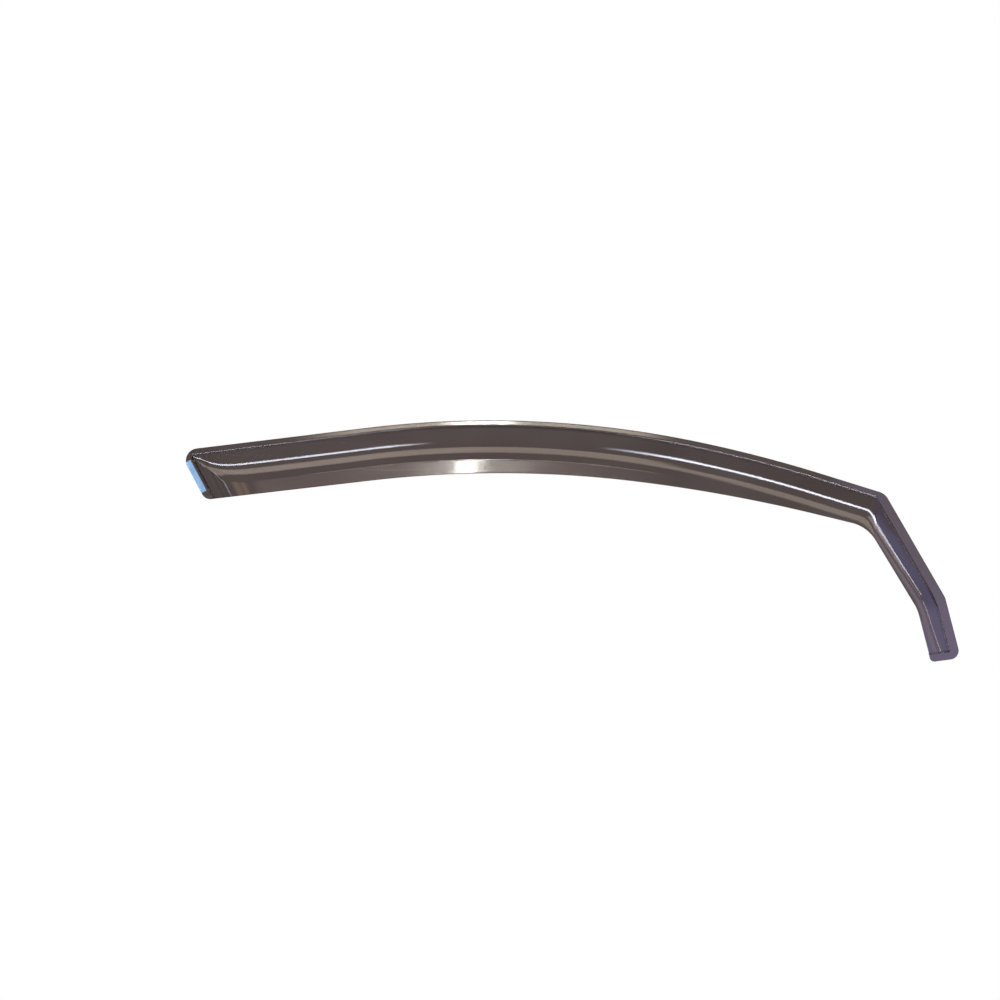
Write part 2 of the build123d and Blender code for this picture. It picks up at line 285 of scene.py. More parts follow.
# %% [markdown]
# The ridge is an arc that touches the face and the skirt. It may take only part of each, so it gets tighter
# where the section is narrow. On the run the flange bends up softly into the step. Down the leg the sheet was
# pressed into a sharp crease instead, and its step gets a darker painted shade.

# %% One station
face_share, skirt_share = 0.75, 0.95
latest_arc_start, latest_arc_end = 0.6, 0.92
# how far from the seat the columns stay close together for the step
step_zone, zone_of_depth, zone_of_face = 1.8 * step_reach, 0.2, 0.8
# how softly the flange bends into the step, and how much painted shade darkens the wall of the step
run_seat_bend, leg_seat_bend = 1.2, 0.0
run_painted_shade, leg_painted_shade = 0.5, 0.95
far_from_end = 999.0


# wall and end_wall are shares of painted shade on the step wall and on the end walls
def station(seat, guide, width, ridge, rise, edge=None, bend=0.0, outer=1.0, inner=1.0,
            from_end=far_from_end, seat_bend=run_seat_bend, wall=run_painted_shade, end_wall=0.0):
    """Where a cut starts, steps up and ends, with the sizes of its section."""
    heading = heading_of(seat, guide)
    back, reach = clip(seat, heading)
    top = ahead(seat, heading, back)
    if bend:
        top = mix(top, edge, bend)
    depth = reach * width / math.dist(seat, guide)
    face_turn, skirt_turn = math.atan(face_slope), math.atan(skirt_slope * rise)
    half = math.tan((face_turn + skirt_turn) / 2)
    tangent = min(face_share * (ridge - step_reach) / math.cos(face_turn),
                  skirt_share * (width - ridge) / math.cos(skirt_turn))
    radius = min(ridge_radius, tangent / half)
    arc_start = ridge - radius * half * math.cos(face_turn)
    centre = arc_start + radius * math.sin(face_turn)
    centre_height = step_height + (arc_start - step_reach) * face_slope - radius * math.cos(face_turn)
    arc_start = min(arc_start, latest_arc_start * depth)
    arc_end = min(centre + radius * math.sin(skirt_turn), latest_arc_end * depth)
    zone = min(step_zone, zone_of_depth * depth, zone_of_face * arc_start)
    return dict(top=top, seat=seat, foot=ahead(seat, heading, reach), flange=math.dist(top, seat),
                depth=depth, ridge=ridge, zone=zone, rise=rise, radius=radius,
                centre=centre, centre_height=centre_height, arc_start=arc_start, arc_end=arc_end,
                outer=outer, inner=inner, from_end=from_end, seat_bend=seat_bend,
                wall=wall, end_wall=end_wall)


middle_of_run = station(inside(0, run_flange), inside(0, form_run), form_run - run_flange, ridge_run, 1.0)
print("ridge radius at the crown in mm:", round(middle_of_run["radius"], 1))

# %% Sections along the run and down the leg
# how much of its height the section loses at the rear, and of its narrowing the leg has before the knee
rear_sink, knee_share = 0.9, 0.85
at_corner, on_leg, at_knee, on_toe = 1, 2, 3, 4


def run_values(share):
    """Seat, guide, width, ridge and rise of the section at a share of the run."""
    seat, s = inside(mix(*seat_span, share), run_flange), mix(*guide_span, share)
    taper = max(0, min(s / guide_span[1], 1))
    width = mix(form_run - run_flange, form_nose, taper)
    rise = 1 - rear_sink * math.exp(-share * seat_length / end_wall_reach)
    ridge = mix(step_reach, mix(ridge_run, ridge_nose, taper), rise)
    return seat, inside(s, run_flange + width), width, ridge, rise


def leg_values(piece, share):
    """The same five for a share of one piece of the leg's lines."""
    down = {at_corner: 0, on_leg: knee_share * share, at_knee: mix(knee_share, 1, share), on_toe: 1}[piece]
    ridge = mix(ridge_nose, ridge_knee, down) if piece < on_toe else mix(ridge_knee, ridge_toe, share)
    return seat_leg[piece](share), guide_leg[piece](share), mix(form_nose, form_leg, down), ridge, 1.0


print("ridge at the toe's end in mm from the step:", leg_values(on_toe, 1)[3])

# %% Stations along the run and down the leg
# shares of the run where the flange starts to follow the corner, and of the leg where it stops
turn_start, turn_length, fade_start, fade_length = 0.93, 0.05, 0.2, 0.2
# millimetres from the rear end, close together where the section sinks
end_steps = [0, 0.4, 0.9, 1.5, 2.2, 3, 4, 5.2, 6.6, 8.2, 10, 12, 14.4, 17, 20, 23, 26, 30]
run_steps = 240
leg_steps = {at_corner: 12, on_leg: 44, at_knee: 24, on_toe: 18}


def run_station(share):
    edge = arched(mix(*edge_span, share), **upper_arch)[0]
    return station(*run_values(share), edge=edge, bend=smooth((share - turn_start) / turn_length),
                   from_end=share * seat_length)


def leg_station(piece, share):
    bend = {at_corner: 1.0, on_leg: 1 - smooth((share - fade_start) / fade_length)}.get(piece, 0.0)
    turned = share if piece == at_corner else 1
    return station(*leg_values(piece, share), edge=edge_leg[piece](share), bend=bend,
                   seat_bend=mix(run_seat_bend, leg_seat_bend, turned),
                   wall=mix(run_painted_shade, leg_painted_shade, smooth(turned)))


rows = [run_station(step / seat_length) for step in end_steps]
rows += [run_station(share) for share in spaced(end_steps[-1] / seat_length, 1, run_steps)]
for piece, count in leg_steps.items():
    rows += [leg_station(piece, share) for share in spaced(0, 1, count)]
print("formed stations:", len(rows))

# %% Stations on the flat end flanges
# millimetres past an end, first over its wall and then over the flat flange, which is scaled to its width
past_steps = [0.5, 1.0, 1.4, 1.7, 1.95, 2.15, 2.3, 2.45, 2.6, 2.8, 3.2, 4,
              5, 6, 7, 7.8, 8.6, 9.3, 9.9, 10.4, 10.75]
flat_start, flat_end = 4, 10.8
outer_start, outer_drop = 1.3, 1.3
inner_start, inner_drop = -0.2, 0.9
middle_share, least_share = 0.4, 0.1


def end_rows(values, away, width, seat_bend):
    """Stations beyond an end: the wall that drops to the glass, then the flat flange to its trimmed edge."""
    seat, guide, section_width, ridge, rise = values
    heading = heading_of(seat, guide)
    made = []
    for past in past_steps:
        past = past * (width + sheet) / flat_end if past > flat_start else past
        outer = 1 - smooth((past - outer_start) / outer_drop)
        here = ahead(seat, away, past)
        middle = ahead(mix(seat, guide, middle_share), away, past)
        back, reach = clip(middle, heading)
        nominal = np.dot(here - middle, ahead((0, 0), heading, 1))
        start = max(nominal, back + least_share * (reach - back))
        seat_here = ahead(middle, heading, start)
        guide_here = ahead(seat_here, heading, math.dist(seat, guide))
        made.append(station(seat_here, guide_here, section_width, ridge, rise, outer=outer,
                            inner=1 - smooth((past - inner_start) / inner_drop), seat_bend=seat_bend,
                            wall=outer, end_wall=1 - abs(2 * outer - 1)))
    return made


rear_rows = end_rows(run_values(0), 180 + 90 - rear_end_angle, rear_flange, run_seat_bend)
toe_rows = end_rows(leg_values(on_toe, 1), toe_end_angle - 90, toe_flange, leg_seat_bend)
rows = rear_rows[::-1] + rows + toe_rows
print("all stations:", len(rows))

# %% [markdown]
# ## Forming the sheet with Geometry Nodes
# The visor's shape follows a rule, so a node tree makes it. Four straight lines describe any section: the
# flange, the step, the face and the skirt. An arc joins the face and the skirt in the ridge, and Smooth
# Minimum and Smooth Maximum round the small bends of the step, as warm acrylic bends over a mould. The same
# lines, moved by the sheet's thickness, give the inner skin, so both skins stay the right distance apart.
# Lofting curves would also make a sheet, but without that control over the bends.

# %% Guide meshes that carry the stations and the columns
def guide_mesh(name, count, **columns):
    """A cloud of points that carries named values for the node tree to read."""
    mesh = bpy.data.meshes.new(name)
    mesh.vertices.add(count)
    for key, values in columns.items():
        values = np.array(values, np.float32)
        kind = ("FLOAT", "value") if values.ndim == 1 else ("FLOAT_VECTOR", "vector")
        mesh.attributes.new(key, kind[0], "POINT").data.foreach_set(kind[1], values.ravel())
    made = bpy.data.objects.new(name, mesh)
    bpy.context.scene.collection.objects.link(made)
    return made


def side_points(key):
    return [(row[key][0], 0.0, row[key][1]) for row in rows]


# wall and end_wall go to the node tree as shares of painted shade
numbers = ("flange", "depth", "ridge", "zone", "rise", "radius", "centre", "centre_height",
           "arc_start", "arc_end", "outer", "inner", "from_end", "seat_bend", "wall", "end_wall")
station_guide = guide_mesh("station_guide", len(rows), top=side_points("top"), seat=side_points("seat"),
                           foot=side_points("foot"), **{key: [row[key] for row in rows] for key in numbers})
step_end, face_end, ridge_end = 0.2, 0.4, 0.8
across = [-1, -0.85, -0.6, -0.4, -0.26, -0.16, -0.08, 0]
across += spaced(0, step_end, 11) + spaced(step_end, face_end, 10) + spaced(face_end, ridge_end, 26)
across += spaced(ridge_end, 1, 10)
column_guide = guide_mesh("column_guide", len(across), across=across)
print("grid:", len(rows), "stations by", len(across), "columns")

# %% Small builders for the node tree
tree = bpy.data.node_groups.new("Formed sheet", "GeometryNodeTree")
tree.interface.new_socket("Geometry", in_out="OUTPUT", socket_type="NodeSocketGeometry")
tree_inputs = (("Stations", "Object"), ("Columns", "Object"),
               ("Station count", "Int"), ("Column count", "Int"),
               ("Sheet", "Float"), ("Step height", "Float"), ("Step reach", "Float"),
               ("Face slope", "Float"), ("Skirt slope", "Float"), ("Material", "Material"))
for name, kind in tree_inputs:
    tree.interface.new_socket(name, in_out="INPUT", socket_type="NodeSocket" + kind)
group_in = tree.nodes.new("NodeGroupInput")
size = {socket.name: socket for socket in group_in.outputs}


def node(kind, settings=(), **inputs):
    """Adds a node, sets its properties, and links or sets its inputs by name or place."""
    made = tree.nodes.new(kind)
    for key, value in settings:
        setattr(made, key, value)
    for key, value in inputs.items():
        socket = made.inputs[int(key[1:])] if key[0] == "_" else made.inputs[key.replace("_", " ")]
        if isinstance(value, bpy.types.NodeSocket):
            tree.links.new(value, socket)
        else:
            socket.default_value = value
    return made


def in_places(values):
    """Inputs by their place, for nodes whose sockets share one name."""
    return {f"_{i}": value for i, value in enumerate(values)}


def calc(operation, *values):
    """One Math node."""
    return node("ShaderNodeMath", [("operation", operation)], **in_places(values)).outputs[0]


def vector(operation, *values):
    """One Vector Math node."""
    settings = [("operation", operation)]
    if operation == "SCALE":
        return node("ShaderNodeVectorMath", settings, _0=values[0], Scale=values[1]).outputs[0]
    return node("ShaderNodeVectorMath", settings, **in_places(values)).outputs[0]


def read(guide, name, index, kind="FLOAT"):
    """A guide's named value at an index."""
    field = node("GeometryNodeInputNamedAttribute", [("data_type", kind)], Name=name).outputs["Attribute"]
    sample = node("GeometryNodeSampleIndex", [("data_type", kind), ("domain", "POINT")],
                  Geometry=guide, Index=index)
    tree.links.new(field, sample.inputs["Value"])
    return sample.outputs["Value"]


def store(geometry, name, kind, domain, field):
    """A geometry with a named value stored on it."""
    made = node("GeometryNodeStoreNamedAttribute", [("data_type", kind), ("domain", domain)],
                Geometry=geometry, Name=name)
    tree.links.new(field, made.inputs["Value"])
    return made.outputs[0]


print("node tree inputs:", ", ".join(name for name, kind in tree_inputs))

# %% Which station and column a grid point belongs to
stations_in = node("GeometryNodeObjectInfo", Object=size["Stations"]).outputs["Geometry"]
columns_in = node("GeometryNodeObjectInfo", Object=size["Columns"]).outputs["Geometry"]
grid = node("GeometryNodeMeshGrid", Vertices_X=size["Station count"],
            Vertices_Y=size["Column count"]).outputs["Mesh"]
index = node("GeometryNodeInputIndex").outputs[0]
row_index = calc("FLOOR", calc("DIVIDE", calc("ADD", index, 0.5), size["Column count"]))
column_index = calc("SUBTRACT", index, calc("MULTIPLY", row_index, size["Column count"]))
place = read(columns_in, "across", column_index)
value = {key: read(stations_in, key, row_index) for key in numbers}
top, seat, foot = [read(stations_in, key, row_index, "FLOAT_VECTOR") for key in ("top", "seat", "foot")]
print("values read at each point:", len(value))

# %% Distance from the step, and the point in the side view
def ramp(field, low, high):
    """A field's way from a low to a high value, from 0 to 1."""
    share = calc("DIVIDE", calc("SUBTRACT", field, low), high - low)
    return calc("MINIMUM", calc("MAXIMUM", share, 0.0), 1.0)


def stretch(start, end, low, high):
    """The length between two values that a column has gone, on its way through one part of the section."""
    return calc("MULTIPLY", calc("SUBTRACT", end, start), ramp(place, low, high))


in_step = calc("MULTIPLY", value["zone"], ramp(place, 0, step_end))
in_face = stretch(value["zone"], value["arc_start"], step_end, face_end)
in_ridge = stretch(value["arc_start"], value["arc_end"], face_end, ridge_end)
in_skirt = stretch(value["arc_end"], value["depth"], ridge_end, 1)
within = calc("ADD", calc("ADD", in_step, in_face), calc("ADD", in_ridge, in_skirt))
outside = calc("MAXIMUM", calc("MULTIPLY", place, -1.0), 0.0)
distance = calc("SUBTRACT", within, calc("MULTIPLY", outside, value["flange"]))
toward_lip = vector("SCALE", vector("SUBTRACT", foot, seat), calc("DIVIDE", within, value["depth"]))
toward_edge = vector("SCALE", vector("SUBTRACT", top, seat), outside)
flat_point = vector("ADD", seat, vector("ADD", toward_lip, toward_edge))
print("nodes so far:", len(tree.nodes))

# %% [markdown]
# The sheet stands off the door glass, and the glass is bowed: it curves inward toward the windscreen and
# toward the sill. Each point's height off the glass is taken from the bowed surface.

# %% Bow of the door glass
bow_start, plan_radius = -285.0, 7500.0
drop_start, drop_radius = -90.0, 1500.0
flat = node("ShaderNodeSeparateXYZ", _0=flat_point).outputs
bow = calc("POWER", calc("MAXIMUM", calc("SUBTRACT", flat["X"], bow_start), 0.0), 2.0)
drop = calc("POWER", calc("MAXIMUM", calc("SUBTRACT", drop_start, flat["Z"]), 0.0), 2.0)
glass = calc("ADD", calc("DIVIDE", calc("SUBTRACT", bow, bow_start ** 2), 2 * plan_radius),
             calc("DIVIDE", drop, 2 * drop_radius))
nose_bow = ((nose_reach - bow_start) ** 2 - bow_start ** 2) / (2 * plan_radius)
print("bow at the nose in mm:", round(nose_bow, 1))

# %% Lines of the section
step_slope = calc("DIVIDE", size["Step height"], size["Step reach"])
skirt_fall = calc("MULTIPLY", size["Skirt slope"], value["rise"])


def face_height(field):
    """Height of the slanted face's line, a distance from the step."""
    past_step = calc("SUBTRACT", field, size["Step reach"])
    return calc("ADD", size["Step height"], calc("MULTIPLY", past_step, size["Face slope"]))


def lowered(line, slope):
    """A line of the section, moved inward by the sheet's thickness."""
    length = calc("SQRT", calc("MULTIPLY_ADD", slope, slope, 1.0))
    return calc("SUBTRACT", line, calc("MULTIPLY", size["Sheet"], length))


step_line = calc("MULTIPLY", distance, step_slope)
face_line = face_height(distance)
past_ridge = calc("SUBTRACT", distance, value["ridge"])
skirt_line = calc("SUBTRACT", face_height(value["ridge"]), calc("MULTIPLY", past_ridge, skirt_fall))
print("nodes so far:", len(tree.nodes))

# %% Heights of the outer and the inner skin
crest_bend, inner_seat_bend, least_radius = 0.3, 3.1, 0.3


def sine(slope):
    return calc("SINE", calc("ARCTANGENT", slope))


def ridge_bend(face, skirt, radius):
    """The face and the skirt, joined by an arc round the bend's centre."""
    off = calc("SUBTRACT", distance, value["centre"])
    start = calc("MULTIPLY", radius, calc("MULTIPLY", sine(size["Face slope"]), -1.0))
    end = calc("MULTIPLY", radius, sine(skirt_fall))
    on_arc = calc("MULTIPLY", calc("GREATER_THAN", off, start), calc("LESS_THAN", off, end))
    square = calc("SUBTRACT", calc("MULTIPLY", radius, radius), calc("MULTIPLY", off, off))
    arc = calc("ADD", value["centre_height"], calc("SQRT", calc("MAXIMUM", square, 0.0)))
    lines = calc("MINIMUM", face, skirt)
    return calc("MULTIPLY_ADD", calc("SUBTRACT", arc, lines), on_arc, lines)


def formed(flange, step, face, skirt, radius, seat_bend):
    """The four lines of a section, joined by rounded bends."""
    body = ridge_bend(face, skirt, radius)
    return calc("SMOOTH_MAX", flange, calc("SMOOTH_MIN", step, body, crest_bend), seat_bend)


outer_skin = formed(0.0, step_line, face_line, skirt_line, value["radius"], value["seat_bend"])
outer_height = calc("MULTIPLY", outer_skin, value["outer"])
under_flange = calc("MULTIPLY", size["Sheet"], -1.0)
inner_radius = calc("MAXIMUM", calc("SUBTRACT", value["radius"], size["Sheet"]), least_radius)
inner_skin = formed(under_flange, lowered(step_line, step_slope), lowered(face_line, size["Face slope"]),
                    lowered(skirt_line, skirt_fall), inner_radius, inner_seat_bend)
inner_height = calc("MULTIPLY_ADD", calc("ADD", inner_skin, size["Sheet"]), value["inner"], under_flange)
print("nodes so far:", len(tree.nodes))

# %% [markdown]
# The step wall and the end walls get painted shade, so that they show as dark lines from the front. The tree
# marks those places with a named value, which the material reads later to darken the dye's colour. A mask
# painted by hand would do it too, but it wouldn't follow a change of size.

# %% Where the sheet gets painted shade on its step and end walls
wall_foot, wall_full = -0.4, 0.3
crest_full, crest_end = step_reach - 0.2, step_reach + 1.0
past_foot = ramp(distance, wall_foot, wall_full)
on_step = calc("MULTIPLY", past_foot, ramp(distance, crest_end, crest_full))
on_end = calc("MULTIPLY", value["end_wall"], past_foot)
edge_on = calc("MAXIMUM", calc("MULTIPLY", on_step, value["wall"]), on_end)
print("step wall in mm from the seat:", wall_full, "to", crest_full)

# %% Both skins and the trimmed edge between them
millimetre = 0.001
merge_distance = 1e-7


def in_metres(height):
    """A point of the sheet at a height off the glass."""
    off_glass = calc("SUBTRACT", glass, height)
    point = node("ShaderNodeCombineXYZ", X=flat["X"], Y=off_glass, Z=flat["Z"]).outputs[0]
    return vector("SCALE", point, millimetre)


marked = store(grid, "inner_point", "FLOAT_VECTOR", "POINT", in_metres(inner_height))
for name, field in (("from_end", value["from_end"]), ("edge_on", edge_on)):
    marked = store(marked, name, "FLOAT", "POINT", field)
outer_side = node("GeometryNodeSetPosition", Geometry=marked, Position=in_metres(outer_height)).outputs[0]
extruded = node("GeometryNodeExtrudeMesh", [("mode", "FACES")], Mesh=outer_side, Individual=False,
                Offset=(0.0, 1.0, 0.0), Offset_Scale=millimetre)
inner_point = node("GeometryNodeInputNamedAttribute", [("data_type", "FLOAT_VECTOR")], Name="inner_point")
inner_side = node("GeometryNodeSetPosition", Geometry=extruded.outputs["Mesh"],
                  Selection=extruded.outputs["Top"], Position=inner_point.outputs[0]).outputs[0]
rimmed = store(inner_side, "trimmed_edge", "BOOLEAN", "FACE", extruded.outputs["Side"])
joined = node("GeometryNodeJoinGeometry")
for skin in (outer_side, rimmed):
    tree.links.new(skin, joined.inputs[0])
merged = node("GeometryNodeMergeByDistance", Geometry=joined.outputs[0], Distance=merge_distance).outputs[0]
shaded = node("GeometryNodeSetShadeSmooth", Geometry=merged).outputs[0]
realized = node("GeometryNodeRealizeInstances", Geometry=shaded).outputs[0]
dressed = node("GeometryNodeSetMaterial", Geometry=realized, Material=size["Material"]).outputs[0]
tree.links.new(dressed, tree.nodes.new("NodeGroupOutput").inputs[0])
print("node tree:", len(tree.nodes), "nodes")

# %% [markdown]
# ## Smoked acrylic
# Smoked acrylic is dyed through, so it is clear and dark rather than painted. Light crosses it and loses
# most of its strength, and the polished skin mirrors the room at about four percent. A Principled shader
# with full transmission does both. Drawing the sheet leaves slow waves in the skin, and handling leaves faint
# hairlines and dust. Waves and dust go into the bump and hairlines into the roughness. Dark streaks by the
# rear end are a painted reflection, and the step and end walls get painted shade; both go into the dye's
# colour.

# %% Material helpers
def new_material(name):
    made = bpy.data.materials.new(name)
    made.use_nodes = True
    nodes, links = made.node_tree.nodes, made.node_tree.links
    return made, nodes, links, nodes["Principled BSDF"]


def give(links, socket, given):
    """Links a socket to another socket, or sets its value."""
    if isinstance(given, bpy.types.NodeSocket):
        links.new(given, socket)
    else:
        socket.default_value = given


def shader_math(nodes, links, operation, *values):
    made = nodes.new("ShaderNodeMath")
    made.operation = operation
    for socket, given in zip(made.inputs, values):
        give(links, socket, given)
    return made.outputs[0]


def blended(nodes, links, share, a, b):
    """A colour between two colours."""
    made = nodes.new("ShaderNodeMix")
    made.data_type = "RGBA"
    for name, given in (("Factor", share), ("A", a), ("B", b)):
        give(links, made.inputs[name], given)
    return made.outputs["Result"]


def attribute(nodes, name):
    """A value that the mesh carries."""
    made = nodes.new("ShaderNodeAttribute")
    made.attribute_name = name
    return made.outputs["Fac"]


def noise(nodes, links, coordinates, scale, detail=2.0, squeeze=(1, 1, 1)):
    """Noise in metres on the object's own coordinates."""
    mapping = nodes.new("ShaderNodeMapping")
    mapping.inputs["Scale"].default_value = squeeze
    links.new(coordinates, mapping.inputs["Vector"])
    texture = nodes.new("ShaderNodeTexNoise")
    texture.inputs["Scale"].default_value = scale
    texture.inputs["Detail"].default_value = detail
    links.new(mapping.outputs[0], texture.inputs["Vector"])
    return texture.outputs["Fac"]


def ranged(nodes, links, source, low, high, to_low, to_high):
    """A value moved from one range to another, clamped."""
    made = nodes.new("ShaderNodeMapRange")
    for socket, given in zip(made.inputs, (source, low, high, to_low, to_high)):
        give(links, socket, given)
    return made.outputs[0]


def bumped(nodes, links, source, strength, depth, before=None):
    made = nodes.new("ShaderNodeBump")
    made.inputs["Strength"].default_value = strength
    made.inputs["Distance"].default_value = depth
    links.new(source, made.inputs["Height"])
    if before is not None:
        links.new(before, made.inputs["Normal"])
    return made.outputs[0]


print("materials before ours:", len(bpy.data.materials))

# %% Dye of the acrylic sheet, with painted reflection streaks and painted shade
thick_dye, thin_dye = (0.070, 0.054, 0.051, 1), (0.080, 0.063, 0.060, 1)
# painted shade: the colour that the step wall and the end walls are darkened toward
painted_shade_colour = (0.012, 0.010, 0.013, 1)
# painted reflection: dark streaks on the rear end, fading out away from the end
streak_scale, streak_share, streak_start, streak_end = 0.42, 0.42, 12, 30
acrylic, nodes, links, shader = new_material("smoked_acrylic")
coordinates = nodes.new("ShaderNodeTexCoord").outputs["Object"]
thickness = noise(nodes, links, coordinates, scale=14, detail=1.0, squeeze=(1, 1, 2.5))
tint = blended(nodes, links, ranged(nodes, links, thickness, 0.3, 0.7, 0, 1), thick_dye, thin_dye)
from_end = attribute(nodes, "from_end")
reflection_streaks = nodes.new("ShaderNodeTexNoise")
reflection_streaks.noise_dimensions = "1D"
reflection_streaks.inputs["Scale"].default_value = streak_scale
reflection_streaks.inputs["Detail"].default_value = 2.0
links.new(from_end, reflection_streaks.inputs["W"])
painted_streaks = shader_math(nodes, links, "MULTIPLY",
                        ranged(nodes, links, reflection_streaks.outputs["Fac"], 0.4, 0.62, 0, streak_share),
                        ranged(nodes, links, from_end, streak_start, streak_end, 1, 0))
# the painted reflection streaks and the painted shade on the walls both darken the dye's colour
painted_darkness = shader_math(nodes, links, "MAXIMUM", painted_streaks, attribute(nodes, "edge_on"))
links.new(blended(nodes, links, painted_darkness, tint, painted_shade_colour), shader.inputs["Base Color"])
print("dye:", len(nodes), "nodes")

# %% Skin of the acrylic sheet
hairlines = noise(nodes, links, coordinates, scale=90, detail=3.0, squeeze=(0.12, 1, 5))
links.new(ranged(nodes, links, hairlines, 0.56, 0.75, 0.03, 0.08), shader.inputs["Roughness"])
waves = noise(nodes, links, coordinates, scale=9, detail=1.0, squeeze=(1, 1, 3))
dust = noise(nodes, links, coordinates, scale=900)
wavy = bumped(nodes, links, waves, strength=0.05, depth=0.004)
dusty = bumped(nodes, links, dust, strength=0.003, depth=0.0002, before=wavy)
links.new(dusty, shader.inputs["Normal"])
shader.inputs["IOR"].default_value = 1.49
shader.inputs["Transmission Weight"].default_value = 1.0
print("material:", acrylic.name, "with", len(nodes), "nodes")

# %% [markdown]
# The tree works as a modifier on an empty carrier. A part for a library has to be a plain mesh, so the
# evaluated result is copied into one, and the carrier and the guides are removed.

# %% Form the visor
def set_inputs(modifier, **inputs):
    """Sets a node modifier's inputs by their sockets' identifiers."""
    identifiers = {item.name: item.identifier for item in modifier.node_group.interface.items_tree
                   if item.item_type == "SOCKET" and item.in_out == "INPUT"}
    for name, given in inputs.items():
        modifier[identifiers[name.replace("_", " ")]] = given


def plain_mesh(carrier, name):
    """Turns a carrier's evaluated nodes into a plain mesh object and removes the carrier."""
    evaluated = carrier.evaluated_get(bpy.context.evaluated_depsgraph_get())
    mesh = bpy.data.meshes.new_from_object(evaluated)
    mesh.name = name
    made = bpy.data.objects.new(name, mesh)
    bpy.context.scene.collection.objects.link(made)
    bpy.data.objects.remove(carrier)
    return made


carrier = bpy.data.objects.new("visor_carrier", bpy.data.meshes.new("visor_carrier"))
bpy.context.scene.collection.objects.link(carrier)
forming = carrier.modifiers.new("Formed sheet", "NODES")
forming.node_group = tree
set_inputs(forming, Stations=station_guide, Columns=column_guide, Station_count=len(rows),
           Column_count=len(across), Sheet=sheet, Step_height=step_height, Step_reach=step_reach,
           Face_slope=face_slope, Skirt_slope=skirt_slope, Material=acrylic)
visor = plain_mesh(carrier, "visor_sheet")
visor.data.materials.clear()
visor.data.materials.append(acrylic)
for guide in (station_guide, column_guide):
    bpy.data.objects.remove(guide)
print("formed sheet:", len(visor.data.vertices), "points,", len(visor.data.polygons), "faces")

# %% [markdown]
# A trimmed acrylic edge is scraped, so it is never knife sharp. Only the edges along the trim are bevelled:
# a Bevel modifier by angle would also catch the bends of the step. Edges that still turn sharply, such as the
# leg's crease, are marked so that the shading doesn't smear across them.

# %% Scrape the trimmed edges
edge_scrape, crease_angle = 0.00045, math.radians(40)
form = bmesh.new()
form.from_mesh(visor.data)
rim_layer = form.faces.layers.bool.get("trimmed_edge")
bmesh.ops.recalc_face_normals(form, faces=form.faces)
trimmed = [e for e in form.edges if len({f[rim_layer] for f in e.link_faces}) == 2]
bmesh.ops.bevel(form, geom=trimmed, offset=edge_scrape, segments=2, profile=0.5,
                affect="EDGES", clamp_overlap=True)
for face in form.faces:
    face.smooth = True
    face.material_index = 0
creases = [e for e in form.edges if len(e.link_faces) == 2 and e.calc_face_angle() > crease_angle]
for edge in creases:
    edge.smooth = False
open_count = sum(1 for e in form.edges if not e.is_manifold)
crease_count = len(creases)
form.to_mesh(visor.data)
form.free()
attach(visor, "root")
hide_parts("visor")
print("visor:", len(visor.data.polygons), "faces,", open_count, "open edges,", crease_count, "crease edges")

# %% [markdown]
# ## Adhesive strip and liner
# The strip is a band of foam with glue on both faces, and a blue film covers it until it is fitted. Both
# are die-cut, so their edges are straight with a soft break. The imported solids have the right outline, and
# a merged copy with a small bevel catches the light better than their sharp edges.

# %% Foam
foam, nodes, links, shader = new_material("acrylic_foam")
cells = nodes.new("ShaderNodeTexVoronoi")
cells.inputs["Scale"].default_value = 2600
links.new(nodes.new("ShaderNodeTexCoord").outputs["Object"], cells.inputs["Vector"])
cell_depth = cells.outputs["Distance"]
grey = blended(nodes, links, cell_depth, (0.035, 0.035, 0.04, 1), (0.07, 0.07, 0.075, 1))
links.new(grey, shader.inputs["Base Color"])
links.new(bumped(nodes, links, cell_depth, strength=0.5, depth=0.0002), shader.inputs["Normal"])
shader.inputs["Roughness"].default_value = 0.85
print("material:", foam.name, "with", len(nodes), "nodes")

# %% Film
film, nodes, links, shader = new_material("release_film")
coordinates = nodes.new("ShaderNodeTexCoord").outputs["Object"]
wrinkles = noise(nodes, links, coordinates, scale=160, detail=3.0)
wrinkled = ranged(nodes, links, wrinkles, 0.35, 0.7, 0, 1)
blue = blended(nodes, links, wrinkled, (0.25, 0.46, 0.76, 1), (0.31, 0.54, 0.84, 1))
links.new(blue, shader.inputs["Base Color"])
rubbed = ranged(nodes, links, noise(nodes, links, coordinates, scale=500), 0.3, 0.7, 0.32, 0.45)
links.new(rubbed, shader.inputs["Roughness"])
links.new(bumped(nodes, links, wrinkles, strength=0.15, depth=0.0004), shader.inputs["Normal"])
print("material:", film.name, "with", len(nodes), "nodes")

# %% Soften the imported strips
merge_reach, flat_angle = 1e-6, math.radians(2)
foam_break, film_break = 0.00012, 0.00004


def softened(node_name, piece_name, width, material):
    """A merged copy of a packed strip with a small bevel on every edge."""
    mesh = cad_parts[node_name].data.copy()
    mesh.name = piece_name
    mesh.materials.clear()
    mesh.materials.append(material)
    body = bmesh.new()
    body.from_mesh(mesh)
    bmesh.ops.remove_doubles(body, verts=body.verts, dist=merge_reach)
    bmesh.ops.dissolve_limit(body, angle_limit=flat_angle, verts=body.verts, edges=body.edges)
    bmesh.ops.bevel(body, geom=body.edges[:], offset=width, segments=3, profile=0.5,
                    affect="EDGES", clamp_overlap=True)
    bmesh.ops.recalc_face_normals(body, faces=body.faces)
    body.to_mesh(mesh)
    body.free()
    made = bpy.data.objects.new(piece_name, mesh)
    bpy.context.scene.collection.objects.link(made)
    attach(made, "root")
    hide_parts(node_name)
    print(piece_name, "has", len(mesh.polygons), "faces")


softened("adhesive_tape", "foam_strip", foam_break, foam)
softened("tape_liner", "liner_film", film_break, film)

# %% [markdown]
# ## Studio
# The photograph looks straight at the outer face from far away, so the camera has a long lens. A polished
# dark part is drawn by what it mirrors, so the room matters more than the lamp: the world gives camera and
# transmitted rays plain white, and gives mirrored rays a dim room with soft bands.

